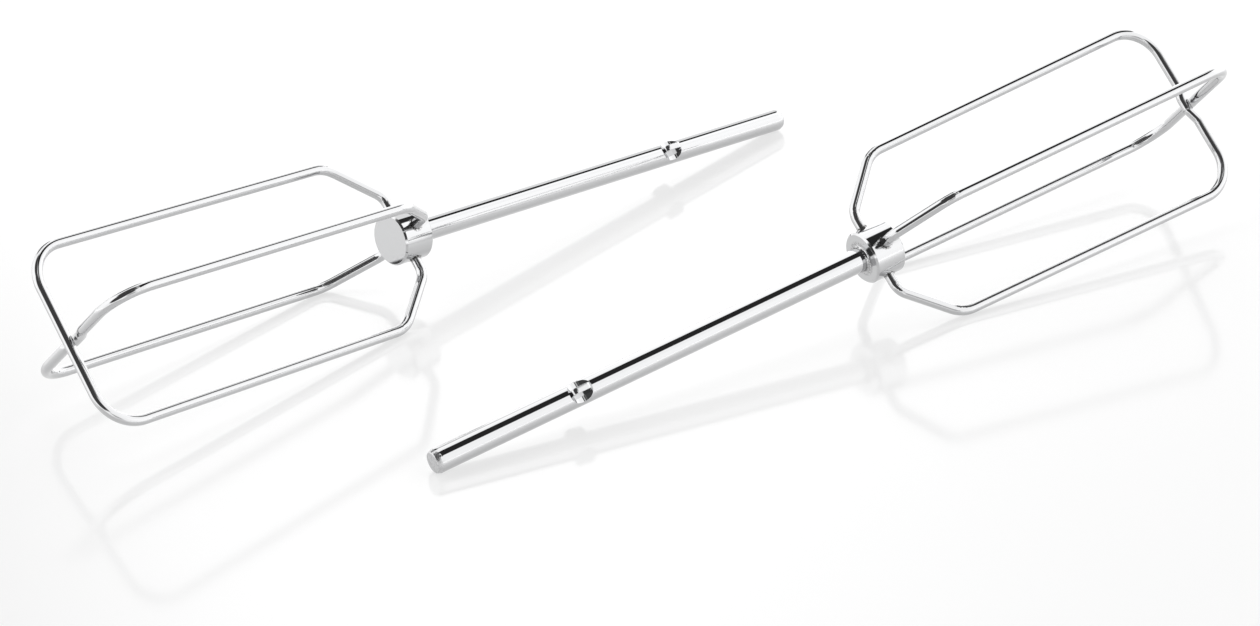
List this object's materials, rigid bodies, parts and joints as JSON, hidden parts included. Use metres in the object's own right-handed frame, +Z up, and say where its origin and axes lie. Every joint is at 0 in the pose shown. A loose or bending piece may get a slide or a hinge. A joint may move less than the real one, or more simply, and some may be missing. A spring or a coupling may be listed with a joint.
{
  "type": "hand mixer beaters",
  "caption": "Hand mixer beaters lying side by side, each a round drive shaft with two ears, a cylindrical hub and bent wire loops that cross at the free end.",
  "frame": {"origin": "middle of the pair's footprint, on the surface that the beaters lie on", "axes": "+X roughly along both beaters, from the left beater's free end towards the right beater's; +Y towards the left beater; +Z up"},
  "size_m": [0.2608, 0.1168, 0.0393],
  "materials": {
    "polished_steel": "mirror polished, plated steel",
    "bright_wire": "bright drawn and plated steel wire"
  },
  "bodies": {
    "left_beater": {"left_beater_shaft": "polished_steel", "left_beater_hub": "polished_steel", "left_beater_outer_wire_loop": "bright_wire", "left_beater_inner_wire_loop": "bright_wire"},
    "right_beater": {"right_beater_shaft": "polished_steel", "right_beater_hub": "polished_steel", "right_beater_outer_wire_loop": "bright_wire", "right_beater_inner_wire_loop": "bright_wire"}
  },
  "joints": [
    {"name": "right_beater_lift", "type": "slide", "parent": "left_beater", "child": "right_beater", "axis": [0, 0, 1], "range_m": [0, 0.15]}
  ]
}
